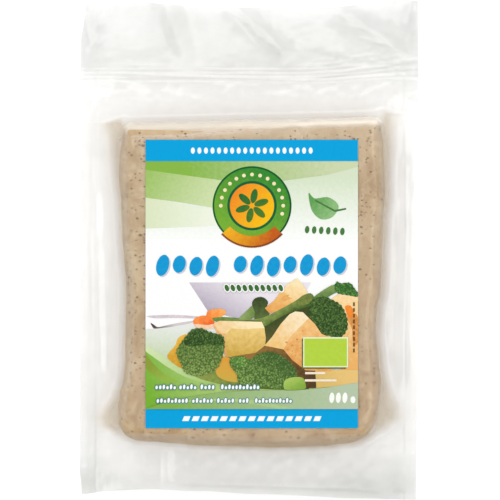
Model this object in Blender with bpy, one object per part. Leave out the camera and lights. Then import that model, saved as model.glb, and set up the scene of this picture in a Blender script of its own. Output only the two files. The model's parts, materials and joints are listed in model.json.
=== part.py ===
"""A slab of firm tofu, vacuum packed in a clear flat pouch that lies on its back.

The pouch is one closed solid: the rounded block of the slab, the webs where the
film stretches away from its corners, and the thin border of doubled film. The
label is a sheet of its own on the slab's face.
Metres, +Z up, +Y towards the pouch's mouth, origin under the middle of the pouch.
"""

import math

import bmesh
import bpy

COLLECTION = "tofu_block"

# Outline of the pouch: (place along the edge, how far out the edge lies)
LEFT_EDGE = ((-0.0976, -0.0674), (-0.020, -0.0678), (0.054, -0.0678), (0.0972, -0.0662))
RIGHT_EDGE = ((-0.100, 0.0666), (-0.020, 0.0676), (0.056, 0.0678), (0.100, 0.0674))
MOUTH_EDGE = ((-0.066, 0.0972), (-0.043, 0.0995), (-0.026, 0.0968), (0.029, 0.0964), (0.053, 0.0988),
              (0.067, 0.1000))
FOOT_EDGE = ((-0.067, -0.0976), (-0.058, -0.0958), (0.067, -0.1000))

# The slab where it is widest, at the height of the seam
SLAB_LEFT = -0.0528
SLAB_RIGHT = 0.0548
SLAB_TOP = 0.0532
SLAB_BOTTOM = -0.0786
TOP_CORNER = 0.0025
BOTTOM_CORNER = 0.0080
SEAM_HEIGHT = 0.0100
FACE_HEIGHT = 0.0210
FACE_CROWN = 0.0004
FRONT_ROUNDING = 0.0044
BACK_ROUNDING = 0.0040
FRONT_FULLNESS = 2.3
BACK_FULLNESS = 2.8

# Film
FILM = 0.0006
WEB_REACH = 0.0018
WEB_SHARE = 0.16
TOP_EAR = 0.0066
TOP_EAR_FADE = 0.0120
BOTTOM_EAR = 0.0056
BOTTOM_EAR_PLACE = -0.0690
BOTTOM_EAR_FADE = 0.0085
EAR_END = 0.0010
EAR_LIFT = 0.34

# The border hangs a little from the seam towards each edge
MOUTH_SAG = 0.0058
FOOT_SAG = 0.0024
SIDE_SAG = 0.0014
SAG_POWER = 1.5
CALM = 0.0040

# Soft folds of the border: (start, end, half width, height)
FOLDS = (
    ((-0.036, 0.100), (-0.026, 0.078), 0.0042, -0.0016),
    ((-0.010, 0.096), (0.012, 0.078), 0.0032, 0.0016),
    ((0.034, 0.095), (0.060, 0.081), 0.0036, 0.0018),
    ((-0.063, 0.100), (-0.064, 0.079), 0.0046, 0.0012),
    ((-0.066, -0.090), (-0.060, -0.098), 0.0050, 0.0014),
    ((-0.030, -0.093), (0.050, -0.096), 0.0040, 0.0007),
    ((-0.0615, 0.024), (-0.0600, -0.046), 0.0022, 0.0008),
    ((0.0630, 0.034), (0.0615, -0.052), 0.0022, 0.0008),
)

# Grid lines, as distances in from the slab's side
WALL_LINES = (-0.0064, -0.0038, -0.0018, -0.0005, 0.0004, 0.0013, 0.0024, 0.0036, 0.0052)
SIDE_CELLS = 3
FACE_COLUMNS = 16
FOOT_CELLS = 4
FACE_ROWS = 9
MOUTH_CELLS = 10

# Label
LABEL_CENTRE = (0.0009, -0.0135)
LABEL_SIZE = (0.0844, 0.1146)
LABEL_THICKNESS = 0.0003
LABEL_GAP = 0.0003
LABEL_CELLS = (10, 13)

# Finish: colour, roughness, metallic, opacity
FILM_FINISH = ((0.80, 0.78, 0.73), 0.16, 0.0, 0.45)
LABEL_FINISH = ((0.36, 0.52, 0.42), 0.38, 0.0, 1.0)


def smoothstep(low, high, value):
    t = min(max((value - low) / (high - low), 0.0), 1.0)
    return t * t * (3.0 - 2.0 * t)


def edge_at(points, place):
    """How far out a soft edge lies at a place along it."""
    for (start, start_out), (end, end_out) in zip(points, points[1:]):
        if place <= end:
            return start_out + (end_out - start_out) * smoothstep(start, end, place)
    return points[-1][1]


def spread(start, end, cells):
    """Evenly spaced places from start, without end itself."""
    return [start + (end - start) * i / cells for i in range(cells)]


def graded_lines(low, slab_low, slab_high, high, low_cells, face_cells, high_cells):
    """Grid places that crowd together where the film turns down the slab's walls."""
    rising = [slab_low + inward for inward in WALL_LINES]
    falling = [slab_high - inward for inward in reversed(WALL_LINES)]
    lines = spread(low, rising[0], low_cells) + rising[:-1]
    lines += spread(rising[-1], falling[0], face_cells) + falling[:-1]
    lines += spread(falling[-1], high, high_cells) + [high]
    return lines


def depth_in_slab(x, y):
    """Distance in from the slab's rounded outline, negative outside it."""
    corner = TOP_CORNER if y > (SLAB_TOP + SLAB_BOTTOM) / 2 else BOTTOM_CORNER
    across = abs(x - (SLAB_LEFT + SLAB_RIGHT) / 2) - (SLAB_RIGHT - SLAB_LEFT) / 2 + corner
    along = abs(y - (SLAB_TOP + SLAB_BOTTOM) / 2) - (SLAB_TOP - SLAB_BOTTOM) / 2 + corner
    outside = math.hypot(max(across, 0.0), max(along, 0.0))
    return corner - outside - min(max(across, along), 0.0)


def ear(y):
    """How strongly the film is pulled out sideways by the slab's corners, 0 to 1."""
    below_top = SLAB_TOP - y
    top = math.exp(-below_top / TOP_EAR_FADE) if below_top > 0 else math.exp(below_top / EAR_END)
    from_bottom = (y - BOTTOM_EAR_PLACE) / BOTTOM_EAR_FADE
    return top, math.exp(-from_bottom * from_bottom)


def swell(x, y, height, rounding, fullness):
    """How far the film stands off the seam's plane at one side of the pouch."""
    depth = depth_in_slab(x, y)
    top_ear, bottom_ear = ear(y)
    beside = smoothstep(0.0, CALM, max(SLAB_LEFT - x, x - SLAB_RIGHT) + CALM)
    pull = beside * max(top_ear, bottom_ear)
    leave = height * (WEB_SHARE + EAR_LIFT * pull)
    if depth >= 0:
        rise = 1.0 - (1.0 - min(depth / rounding, 1.0)) ** fullness
        return leave + (height - leave) * rise ** (1.0 / fullness)
    reach = WEB_REACH + beside * (TOP_EAR * top_ear + BOTTOM_EAR * bottom_ear)
    return leave * max(1.0 + depth / reach, 0.0) ** 2


def fold_height(x, y):
    """Sum of the soft folds at a place on the border."""
    total = 0.0
    for (start_x, start_y), (end_x, end_y), half_width, height in FOLDS:
        run_x = end_x - start_x
        run_y = end_y - start_y
        share = ((x - start_x) * run_x + (y - start_y) * run_y) / (run_x * run_x + run_y * run_y)
        share = min(max(share, 0.0), 1.0)
        off = math.hypot(x - start_x - share * run_x, y - start_y - share * run_y) / half_width
        total += height * math.exp(-off * off)
    return total


def seam_at(x, y):
    """Height of the middle of the doubled film."""
    mouth = max(y - SLAB_TOP, 0.0) / (MOUTH_EDGE[-1][1] - SLAB_TOP)
    foot = max(SLAB_BOTTOM - y, 0.0) / (SLAB_BOTTOM - FOOT_EDGE[-1][1])
    side = max(SLAB_LEFT - x, x - SLAB_RIGHT, 0.0) / (RIGHT_EDGE[2][1] - SLAB_RIGHT)
    sag = MOUTH_SAG * mouth ** SAG_POWER + FOOT_SAG * foot ** SAG_POWER + SIDE_SAG * side ** SAG_POWER
    away = smoothstep(0.0, CALM, -depth_in_slab(x, y))
    return SEAM_HEIGHT - sag + away * fold_height(x, y)


def front_at(x, y):
    """Height of the pouch's upper surface."""
    height = FACE_HEIGHT - SEAM_HEIGHT - FILM / 2
    half_width = (SLAB_RIGHT - SLAB_LEFT) / 2
    half_length = (SLAB_TOP - SLAB_BOTTOM) / 2
    across = min(abs(x - (SLAB_LEFT + SLAB_RIGHT) / 2) / half_width, 1.0)
    along = min(abs(y - (SLAB_TOP + SLAB_BOTTOM) / 2) / half_length, 1.0)
    crown = FACE_CROWN * (1.0 - across * across) * (1.0 - along * along)
    return seam_at(x, y) + FILM / 2 + swell(x, y, height, FRONT_ROUNDING, FRONT_FULLNESS) + crown


def back_at(x, y):
    """Height of the pouch's lower surface, flat under the slab."""
    depth = SEAM_HEIGHT - FILM / 2
    return seam_at(x, y) - FILM / 2 - swell(x, y, depth, BACK_ROUNDING, BACK_FULLNESS)


def onto_outline(x, y):
    """Moves a place of the even grid so that the grid's rim follows the pouch's outline."""
    mouth = smoothstep(SLAB_TOP, MOUTH_EDGE[-1][1], y) * (edge_at(MOUTH_EDGE, x) - MOUTH_EDGE[-1][1])
    foot = smoothstep(SLAB_BOTTOM, FOOT_EDGE[-1][1], y) * (edge_at(FOOT_EDGE, x) - FOOT_EDGE[-1][1])
    left = smoothstep(SLAB_LEFT, LEFT_EDGE[1][1], x) * (edge_at(LEFT_EDGE, y) - LEFT_EDGE[1][1])
    right = smoothstep(SLAB_RIGHT, RIGHT_EDGE[2][1], x) * (edge_at(RIGHT_EDGE, y) - RIGHT_EDGE[2][1])
    return x + left + right, y + mouth + foot


def new_material(name, finish):
    colour, roughness, metallic, opacity = finish
    material = bpy.data.materials.new(name)
    material.use_nodes = True
    shader = material.node_tree.nodes["Principled BSDF"]
    shader.inputs["Base Color"].default_value = (*colour, 1.0)
    shader.inputs["Roughness"].default_value = roughness
    shader.inputs["Metallic"].default_value = metallic
    shader.inputs["Alpha"].default_value = opacity
    material.diffuse_color = (*colour, opacity)
    return material


def sheet_object(name, columns, rows, place, upper, lower, finish, collection):
    """A closed sheet between two height functions, on a grid of columns and rows."""
    mesh = bmesh.new()
    bmesh.ops.create_grid(mesh, x_segments=len(columns) - 1, y_segments=len(rows) - 1, size=0.5)
    for vert in mesh.verts:
        column = round((vert.co.x + 0.5) * (len(columns) - 1))
        row = round((vert.co.y + 0.5) * (len(rows) - 1))
        vert.co.x, vert.co.y = place(columns[column], rows[row])
    bottom = list(mesh.verts)
    extruded = bmesh.ops.extrude_face_region(mesh, geom=list(mesh.faces))
    top = [item for item in extruded["geom"] if isinstance(item, bmesh.types.BMVert)]
    for vert in bottom:
        vert.co.z = lower(vert.co.x, vert.co.y)
    for vert in top:
        vert.co.z = upper(vert.co.x, vert.co.y)
    bmesh.ops.recalc_face_normals(mesh, faces=list(mesh.faces))
    data = bpy.data.meshes.new(name)
    mesh.to_mesh(data)
    mesh.free()
    data.shade_smooth()
    data.set_sharp_from_angle(angle=math.radians(50.0))
    data.materials.append(new_material(name, finish))
    sheet = bpy.data.objects.new(name, data)
    collection.objects.link(sheet)
    return sheet


def build_pouch(collection):
    columns = graded_lines(LEFT_EDGE[1][1], SLAB_LEFT, SLAB_RIGHT, RIGHT_EDGE[2][1],
                           SIDE_CELLS, FACE_COLUMNS, SIDE_CELLS)
    rows = graded_lines(FOOT_EDGE[-1][1], SLAB_BOTTOM, SLAB_TOP, MOUTH_EDGE[-1][1],
                        FOOT_CELLS, FACE_ROWS, MOUTH_CELLS)
    return sheet_object("pouch", columns, rows, onto_outline, front_at, back_at, FILM_FINISH, collection)


def build_label(collection):
    half_width, half_length = (side / 2 for side in LABEL_SIZE)
    left, right = LABEL_CENTRE[0] - half_width, LABEL_CENTRE[0] + half_width
    low, high = LABEL_CENTRE[1] - half_length, LABEL_CENTRE[1] + half_length
    columns = spread(left, right, LABEL_CELLS[0]) + [right]
    rows = spread(low, high, LABEL_CELLS[1]) + [high]

    def under_side(x, y):
        return front_at(x, y) + LABEL_GAP

    def printed_side(x, y):
        return under_side(x, y) + LABEL_THICKNESS

    return sheet_object("label", columns, rows, lambda x, y: (x, y), printed_side, under_side,
                        LABEL_FINISH, collection)


def clear_scene():
    for item in list(bpy.data.objects):
        bpy.data.objects.remove(item, do_unlink=True)


def main():
    clear_scene()
    collection = bpy.data.collections.new(COLLECTION)
    bpy.context.scene.collection.children.link(collection)
    build_pouch(collection)
    build_label(collection)


main()
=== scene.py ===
"""A slab of firm tofu in a clear vacuum pouch, lying on its back with its label up."""
import json
import math

import bmesh
import bpy
import numpy as np
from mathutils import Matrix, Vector, noise

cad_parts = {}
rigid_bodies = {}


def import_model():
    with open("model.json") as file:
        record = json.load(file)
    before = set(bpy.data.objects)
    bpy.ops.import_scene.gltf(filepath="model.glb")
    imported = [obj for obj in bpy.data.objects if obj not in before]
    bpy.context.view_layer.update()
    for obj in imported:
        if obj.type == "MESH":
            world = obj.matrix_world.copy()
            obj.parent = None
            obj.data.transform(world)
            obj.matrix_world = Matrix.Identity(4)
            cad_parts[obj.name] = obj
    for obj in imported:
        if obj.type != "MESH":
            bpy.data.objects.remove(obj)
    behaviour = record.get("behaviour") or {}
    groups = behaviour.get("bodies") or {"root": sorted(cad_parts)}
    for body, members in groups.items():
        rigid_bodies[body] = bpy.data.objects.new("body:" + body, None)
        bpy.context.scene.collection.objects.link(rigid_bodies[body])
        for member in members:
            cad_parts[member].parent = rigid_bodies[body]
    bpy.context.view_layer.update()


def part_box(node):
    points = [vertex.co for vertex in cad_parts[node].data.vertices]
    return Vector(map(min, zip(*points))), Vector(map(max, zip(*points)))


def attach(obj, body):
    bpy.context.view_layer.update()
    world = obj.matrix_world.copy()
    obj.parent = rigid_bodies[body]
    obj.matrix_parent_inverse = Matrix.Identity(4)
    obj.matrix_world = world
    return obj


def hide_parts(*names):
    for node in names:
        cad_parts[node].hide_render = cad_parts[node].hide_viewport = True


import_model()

POUCH_LOW, POUCH_HIGH = (np.array(corner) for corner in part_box("pouch"))
LABEL_LOW, LABEL_HIGH = (np.array(corner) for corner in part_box("label"))
MM = 0.001

# The slab reaches past the label by these margins, where it is widest
SLAB_LEFT = LABEL_LOW[0] - 11.5 * MM
SLAB_RIGHT = LABEL_HIGH[0] + 11.7 * MM
SLAB_TOP = LABEL_HIGH[1] + 9.4 * MM
SLAB_BOTTOM = LABEL_LOW[1] - 7.8 * MM
TOP_CORNER = 3.0 * MM
BOTTOM_CORNER = 8.5 * MM
MIDDLE_X = (SLAB_LEFT + SLAB_RIGHT) / 2
MIDDLE_Y = (SLAB_TOP + SLAB_BOTTOM) / 2
HALF_X = (SLAB_RIGHT - SLAB_LEFT) / 2
HALF_Y = (SLAB_TOP - SLAB_BOTTOM) / 2
BACK = POUCH_LOW[2]
FACE = LABEL_LOW[2] - 0.35 * MM
SEAM = BACK + 10.0 * MM
CROWN = 0.4 * MM
FRONT_ROUNDING = 6.2 * MM
BACK_ROUNDING = 4.6 * MM

# The curd itself stands a little inside the pocket of film
TOFU_LEFT = SLAB_LEFT + 1.3 * MM
TOFU_RIGHT = SLAB_RIGHT - 2.0 * MM
TOFU_TOP = SLAB_TOP - 1.5 * MM
TOFU_BOTTOM = SLAB_BOTTOM + 0.3 * MM
TOFU_ROUNDING = 4.6 * MM
TOFU_FULLNESS = 2.2
TOFU_CUTS = 112
CLEAR_OF_FILM = 0.12 * MM

# Pouch film
FILM = 0.10 * MM
MOUTH_SAG = 5.6 * MM
FOOT_SAG = 2.3 * MM
SIDE_SAG = 1.3 * MM

# Label sheet and the inks on it
LABEL_SHEET = 0.16 * MM
INK = 0.018 * MM
LONGEST_EDGE = 9.0 * MM
LABEL_MIDDLE = (LABEL_LOW + LABEL_HIGH) / 2


def deselect_all():
    for item in bpy.context.view_layer.objects.selected[:]:
        item.select_set(False)


def activate(piece):
    deselect_all()
    piece.select_set(True)
    bpy.context.view_layer.objects.active = piece


def smooth(low, high, value):
    share = np.clip((value - low) / (high - low), 0.0, 1.0)
    return share * share * (3.0 - 2.0 * share)


def soft_edge(points, place):
    """How far out an edge lies, along a soft line through (place, distance) points."""
    out = np.full_like(place, points[0][1])
    for (start, start_out), (end, end_out) in zip(points, points[1:]):
        out = np.where(place > start, start_out + (end_out - start_out) * smooth(start, end, place), out)
    return out


def cloud(x, y, size_x, size_y, seed):
    """Smooth noise from about -1 to 1, with its own grain size along x and y."""
    return np.array([noise.noise(Vector((a / size_x, b / size_y, seed))) for a, b in zip(x, y)])


# ---------------------------------------------------------------- shape of the pouch

# The slab's outline against a plain rounded block, in millimetres: place along the side, how far out
SLAB_LEFT_WAVE = ((-75, 0.3), (-69, 0.9), (-64, 0.9), (-58, 0.1), (-52, -1.2), (-45, -1.8), (-14, -2.3),
                  (-3, -1.4), (7, -0.6), (20, -0.2), (31, 0.7), (39, 0.4), (46, -0.6), (55, -1.0))
SLAB_RIGHT_WAVE = ((-74, -2.6), (-69, -1.7), (-62, -0.8), (-55, -0.2), (-43, -1.4), (-33, -2.4), (-24, -1.9),
                   (-17, -0.5), (-6, 0.0), (12, 0.5), (22, 1.5), (31, 1.2), (40, 0.8), (48, -0.2), (55, -1.0))
SLAB_TOP_WAVE = ((-54, -2.6), (-46, -1.4), (-30, -1.1), (0, -0.4), (35, 0.3), (50, 0.8))
SLAB_FOOT_WAVE = ((-54, -1.2), (-46, -2.1), (-38, -1.7), (-30, -1.1), (-20, -0.2), (12, 0.6), (30, 0.1),
                  (40, -0.9), (49, -2.6), (54, -3.2))


def edge_line(points, place):
    """How far out an edge lies, from points in millimetres."""
    return soft_edge(tuple((a * MM, b * MM) for a, b in points), place)


def slab_wave(x, y):
    """How far the slab's uneven outline moves each place outward, across and along."""
    left = smooth(MIDDLE_X, SLAB_LEFT, x) * edge_line(SLAB_LEFT_WAVE, y)
    right = smooth(MIDDLE_X, SLAB_RIGHT, x) * edge_line(SLAB_RIGHT_WAVE, y)
    top = smooth(MIDDLE_Y, SLAB_TOP, y) * edge_line(SLAB_TOP_WAVE, x)
    foot = smooth(MIDDLE_Y, SLAB_BOTTOM, y) * edge_line(SLAB_FOOT_WAVE, x)
    return right - left, top - foot


def straighten(x, y):
    """Places as they lie about the plain rounded block."""
    out_x, out_y = slab_wave(x, y)
    return x - out_x, y - out_y


def depth_in_slab(x, y):
    """Distance in from the slab's rounded outline, negative outside it."""
    x, y = straighten(x, y)
    corner = np.where(y > MIDDLE_Y, TOP_CORNER, BOTTOM_CORNER)
    across = np.abs(x - MIDDLE_X) - HALF_X + corner
    along = np.abs(y - MIDDLE_Y) - HALF_Y + corner
    outside = np.hypot(np.maximum(across, 0), np.maximum(along, 0))
    return corner - outside - np.minimum(np.maximum(across, along), 0)


def corner_pull(y):
    """How strongly the slab's corners pull the film out sideways, at the top and at the bottom."""
    below = SLAB_TOP - y
    top = np.where(below > 0, np.exp(-below / (12 * MM)), np.exp(np.minimum(below, 0) / (2 * MM)))
    above = y - SLAB_BOTTOM - 9.0 * MM
    place = above / np.where(above > 0, 9.0 * MM, 4.2 * MM)
    return top, np.exp(-place * place)


def web_at(x, y):
    """Where the slab's corners stretch the film into webs, 0 to 1."""
    x, y = straighten(x, y)
    top, bottom = corner_pull(y)
    side = np.maximum(SLAB_LEFT - x, x - SLAB_RIGHT)
    beside = smooth(-4 * MM, 0, side)
    return beside * top, beside * bottom


def swell(x, y, height, rounding):
    """How far the film stands off the seam's plane."""
    depth = depth_in_slab(x, y)
    top, bottom = web_at(x, y)
    leave = height * (0.14 + 0.34 * np.maximum(top, bottom))
    at_top = smooth(0, 2 * MM, depth - (SLAB_TOP - y) + 1.5 * MM)
    tight = rounding * (1.0 - 0.5 * at_top)
    on_slab = leave + (height - leave) * np.sin(math.pi / 2 * np.clip(depth / tight, 0, 1))
    reach = 1.9 * MM + 7.0 * MM * top + 7.4 * MM * bottom
    share = np.clip(1.0 + depth / reach, 0, 1)
    return np.where(depth >= 0, on_slab, leave * share ** 2)


def juice_at(x, y):
    """How much cloudy liquid stands under the film, 0 to 1: round the slab's rim and in the webs."""
    depth = depth_in_slab(x, y)
    top, bottom = web_at(x, y)
    peak = 1.7 * MM
    uneven = 1.0 + 0.25 * cloud(x, y, 5 * MM, 9 * MM, 20.5)
    at_top = np.where(x < MIDDLE_X, 7.0, 4.6) * MM * top
    out = np.maximum(peak - depth, 0) / (1.9 * MM * uneven + at_top + 6.4 * MM * bottom)
    inward = np.maximum(depth - peak, 0) / (1.9 * MM)
    bottom = bottom * np.where(x > MIDDLE_X, 0.3, 1.0)
    left = smooth(MIDDLE_X, SLAB_LEFT, x)
    fill = 0.34 - 0.09 * left + (0.04 + 0.18 * left) * top + 0.24 * bottom
    fill += 0.14 * smooth(SLAB_BOTTOM + 2 * MM, SLAB_BOTTOM, y)
    at_mouth = smooth(-5 * MM, -1 * MM, y - SLAB_TOP) * smooth(0, 3 * MM, HALF_X - np.abs(x - MIDDLE_X))
    fade = 0.75 * np.exp(-out * out) + 0.25 * np.exp(-0.5 * out)
    return fill * fade * np.exp(-inward * inward) * (1.0 - 0.75 * at_mouth)


def painted_highlight_at(x, y):
    """Painted highlights where the film leaves the face: strong along the top, faint at the sides."""
    straight_x, straight_y = straighten(x, y)
    wander = 0.35 * MM * cloud(x, y, 14 * MM, 30 * MM, 31.0) + 0.35 * MM * cloud(x, y, 5 * MM, 30 * MM, 35.0)
    depth = SLAB_TOP - straight_y + wander
    inside = HALF_X - np.abs(straight_x - MIDDLE_X)
    within = smooth(0.5 * MM, 5 * MM, inside)
    # Painted highlight along the top wall
    off_line = (depth - 2.7 * MM) / (np.where(depth > 2.7 * MM, 1.9, 1.5) * MM)
    line = 0.85 * within * np.exp(-np.abs(off_line) ** 2.6)
    right = x > MIDDLE_X
    broken = 0.7 + 0.6 * cloud(x, y, 4 * MM, 9 * MM, 33.0)
    # Faint broken painted highlights just in from each side wall
    rib = (inside - np.where(right, 2.5 * MM, 3.4 * MM)) / np.where(right, 0.8 * MM, 0.5 * MM)
    on_face = smooth(1 * MM, 5 * MM, SLAB_TOP - y) * smooth(2 * MM, 12 * MM, y - SLAB_BOTTOM)
    return line + on_face * 0.08 * np.maximum(broken, 0) * np.exp(-rib * rib)


# Soft folds of the border: start, end, half width and height in millimetres
FOLDS = (
    ((-33, 100), (-25, 80), 6.0, -1.4),
    ((-8, 98), (12, 80), 4.5, 1.4),
    ((36, 95), (58, 82), 5.0, 1.5),
    ((45, 84), (66, 78), 1.6, 0.4),
    ((-63, 100), (-64, 79), 4.6, 1.2),
    ((-66, -90), (-60, -98), 5.0, 1.4),
    ((-30, -93), (50, -96), 4.0, 0.7),
    ((-33, -81), (-33, -92), 1.6, 0.5),
    ((-61.5, 24), (-60, -46), 2.2, 0.8),
    ((-58, -8), (-57, -34), 1.2, -0.5),
    ((-64.5, 6), (-63, -30), 1.0, 0.35),
    ((63, 34), (61.5, -52), 2.2, 0.8),
    ((60.5, 20), (62, 4), 1.2, -0.4),
    ((60.5, -20), (61, -48), 1.2, 0.35),
)


def fold_height(x, y):
    total = np.zeros_like(x)
    for start, end, half_width, height in FOLDS:
        start_x, start_y = (value * MM for value in start)
        run_x, run_y = ((b - a) * MM for a, b in zip(start, end))
        share = ((x - start_x) * run_x + (y - start_y) * run_y) / (run_x ** 2 + run_y ** 2)
        share = np.clip(share, 0, 1)
        off = np.hypot(x - start_x - share * run_x, y - start_y - share * run_y) / (half_width * MM)
        total += height * MM * np.exp(-off * off)
    return total


def seam_at(x, y):
    """Height of the middle of the doubled film of the border."""
    mouth = np.maximum(y - SLAB_TOP, 0) / (POUCH_HIGH[1] - SLAB_TOP)
    foot = np.maximum(SLAB_BOTTOM - y, 0) / (SLAB_BOTTOM - POUCH_LOW[1])
    side = np.maximum(np.maximum(SLAB_LEFT - x, x - SLAB_RIGHT), 0) / (POUCH_HIGH[0] - SLAB_RIGHT)
    sag = MOUTH_SAG * mouth ** 1.5 + FOOT_SAG * foot ** 1.5 + SIDE_SAG * side ** 1.5
    away = smooth(0, 4 * MM, -depth_in_slab(x, y))
    return SEAM - sag + away * fold_height(x, y)


def weld_line(x):
    """Where the mouth's weld runs: level on the left, climbing a little on the right."""
    return SLAB_TOP + 17.2 * MM + 3.4 * MM * smooth(20 * MM, 66 * MM, x)


def border_relief(x, y):
    """Fine relief of the doubled film: soft unevenness, welds, crinkles and the quilted foot."""
    away = smooth(0.5 * MM, 4 * MM, -depth_in_slab(x, y))
    side = np.maximum(SLAB_LEFT - x, x - SLAB_RIGHT)
    beside = smooth(1 * MM, 5 * MM, side)
    upright = cloud(x, y, 2.8 * MM, 7 * MM, 3.1) + 0.6 * cloud(x, y, 1.6 * MM, 3.5 * MM, 9.4)
    loose = cloud(x, y, 9 * MM, 7 * MM, 1.7) + 0.5 * cloud(x, y, 3.6 * MM, 3.0 * MM, 5.2)
    at_foot = smooth(1 * MM, 6 * MM, SLAB_BOTTOM - y)
    relief = away * (0.16 * MM * loose * (1.0 - 0.5 * at_foot) + beside * 0.13 * MM * upright)
    return relief + mouth_relief(x, y) + side_weld_relief(x, y) + foot_relief(x, y)


def mouth_relief(x, y):
    """The mouth's weld with its ribs and long crease, and the crinkled film above it."""
    off_weld = (y - weld_line(x)) / MM
    band = np.exp(-(off_weld / 3.2) ** 4)
    ribs = band * 0.04 * MM * np.cos(off_weld * 2.0 * math.pi / 1.7)
    crease = 0.30 * MM * np.exp(-((off_weld + 2.4 + 0.035 * (x / MM - 10)) / 0.5) ** 2)
    crease = crease * smooth(-70 * MM, -20 * MM, x)
    above = smooth(2.5 * MM, 6 * MM, y - weld_line(x))
    crinkle = np.exp(-((x / MM - 48) / 17) ** 2 - ((off_weld - 4.5) / 4.0) ** 2)
    crinkled = crinkle * 0.35 * MM * cloud(x, y, 3.2 * MM, 1.6 * MM, 7.7)
    return ribs + crease + crinkled + above * 0.25 * MM * cloud(x, y, 16 * MM, 12 * MM, 2.2)


def side_weld_relief(x, y):
    """A fine raised line along the inner side of each side weld."""
    inner_left = (x - POUCH_LOW[0]) / MM - 6.2
    inner_right = (POUCH_HIGH[0] - x) / MM - 5.6
    below_weld = 1.0 - smooth(-2 * MM, 2 * MM, y - weld_line(x))
    lines = np.exp(-(inner_left / 0.45) ** 2) + np.exp(-(inner_right / 0.45) ** 2)
    return below_weld * 0.12 * MM * lines


def foot_relief(x, y):
    """The quilted film below the slab."""
    foot = smooth(2 * MM, 6 * MM, SLAB_BOTTOM - y) * smooth(-36 * MM, -30 * MM, x)
    slope = (y - (SLAB_BOTTOM - 6.5 * MM) + 0.075 * (x + 20 * MM)) / MM
    quilt = np.cos(x / MM * math.pi / 4.6 + 0.5 * np.sin(slope)) * np.cos(slope * math.pi / 3.8)
    return foot * 0.05 * MM * quilt * np.exp(-(slope / 6.0) ** 2)


def face_wave(x, y):
    """Slow unevenness of the slab's face and of the label that clings to it."""
    across = np.clip(np.abs(x - MIDDLE_X) / HALF_X, 0, 1)
    along = np.clip(np.abs(y - MIDDLE_Y) / HALF_Y, 0, 1)
    slow = 0.10 * MM * np.sin(x / (17 * MM) + 0.6) * np.sin(y / (23 * MM) + 1.1)
    return CROWN * (1 - across ** 2) * (1 - along ** 2) + slow * (1 - across ** 4) * (1 - along ** 4)


# Painted shade and painted highlights of the film's folds, and a few darker seal lines: start, end, soft side
# and crisp side in millimetres, strength (below 0, lighter)
PAINTED_FOLD_SHADE_AND_SEAL_LINES = (
    ((-28.5, 104), (-21.6, 74), 0.9, 8.0, 0.85),
    ((-26.0, 104), (-19.6, 75), 1.6, 0.9, -0.5),
    ((-7.6, 95), (5.0, 80), 0.6, 0.6, -1.5),
    ((-6.0, 96), (15.5, 75), 2.6, 1.6, 0.9),
    ((2.0, 84), (16.0, 75), 2.0, 2.4, 0.7),
    ((38, 94), (62, 80), 3.4, 2.6, 0.7),
    ((20, 81), (40, 76), 1.6, 1.0, 0.9),
    ((48, 82.6), (56, 81.6), 0.6, 0.6, 1.2),
    ((20, 67), (69, 75.6), 0.5, 0.5, 1.1),
    ((30, 70.5), (67, 77), 0.6, 0.6, -0.8),
    ((-30, 73.5), (10, 69), 0.5, 0.5, 0.5),
    ((-63.5, 98), (-64.5, 74), 3.4, 3.4, 0.7),
    ((64, 98), (65.5, 80), 2.2, 1.6, 0.8),
    ((-58, 94), (-40, 80), 6.0, 6.0, -0.4),
    ((-48, 62), (60, 60), 8.0, 5.0, -0.25),
    ((-63, 60), (-65, -90), 1.6, 0.8, 0.5),
    ((-61, 40), (-61, -10), 3.2, 3.2, -0.7),
    ((-58, -14), (-56.5, -50), 1.4, 0.8, 0.9),
    ((-62, -60), (-62, -92), 2.8, 2.8, 0.6),
    ((62, -30), (64, -60), 2.2, 1.4, 0.8),
    ((61, 16), (62.5, 8), 1.6, 1.0, 0.9),
    ((60.5, -20), (62, -27), 1.2, 0.8, 0.9),
    ((-35, -81), (-35, -94), 2.4, 0.6, -2.4),
    ((-58, -86), (-38, -90), 5.0, 5.0, -1.0),
    ((-30, -94), (60, -97), 3.0, 1.6, 0.9),
    ((-28, -94.2), (66, -96.8), 0.7, 0.5, 0.9),
    ((-61.5, -58), (-61.7, -96), 0.6, 0.4, 1.1),
    ((62, 50), (62.5, -60), 0.6, 0.4, 0.5),
)
LONGEST_FADE = 7.0 * MM

# Lines of the mouth's weld: place across it, half width, strength
WELD_LINES = ((-1.8, 0.45, 1.1), (-3.3, 0.9, -0.5), (-0.5, 0.6, -0.5), (1.0, 0.45, 0.8), (2.7, 0.5, 0.6))


def film_tone_and_painted_shade_at(x, y):
    """How dim the film looks, about 0 to 3: its own tint, with painted shade and painted highlights of its
    folds, and painted light beside the slab's left wall.
    """
    total = 0.80 + 1.95 * smooth(58 * MM, 76 * MM, y) + 0.35 * smooth(SLAB_RIGHT, POUCH_HIGH[0], x)
    low_side = 1.5 * smooth(52 * MM, 60 * MM, x) + 1.0 * smooth(-58 * MM, -63 * MM, x)
    total += low_side * smooth(-25 * MM, -70 * MM, y)
    foot = smooth(1 * MM, 7 * MM, SLAB_BOTTOM - y) + smooth(6 * MM, 15 * MM, SLAB_BOTTOM - y)
    ends_of_foot = 0.9 * smooth(20 * MM, 50 * MM, x) * smooth(68 * MM, 54 * MM, x)
    ends_of_foot += 0.6 * smooth(-30 * MM, -50 * MM, x)
    total += foot * (1.0 + 0.2 * smooth(-40 * MM, -28 * MM, x) + ends_of_foot)
    # Painted light: the film is made clearer beside the slab's left wall, to lift the slab's shadow there
    total -= 0.9 * smooth(MIDDLE_X, SLAB_LEFT, x) * np.exp(np.minimum(depth_in_slab(x, y), 0) / (5 * MM))
    total += 0.55 * cloud(x, y, 11 * MM, 8 * MM, 41.0) + 0.40 * cloud(x, y, 4.5 * MM, 3.6 * MM, 43.0)
    total += 0.35 * cloud(x, y, 1.8 * MM, 1.6 * MM, 45.0)
    return total + weld_shade(x, y) + painted_fold_shade_and_seal_lines(x, y)


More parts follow.
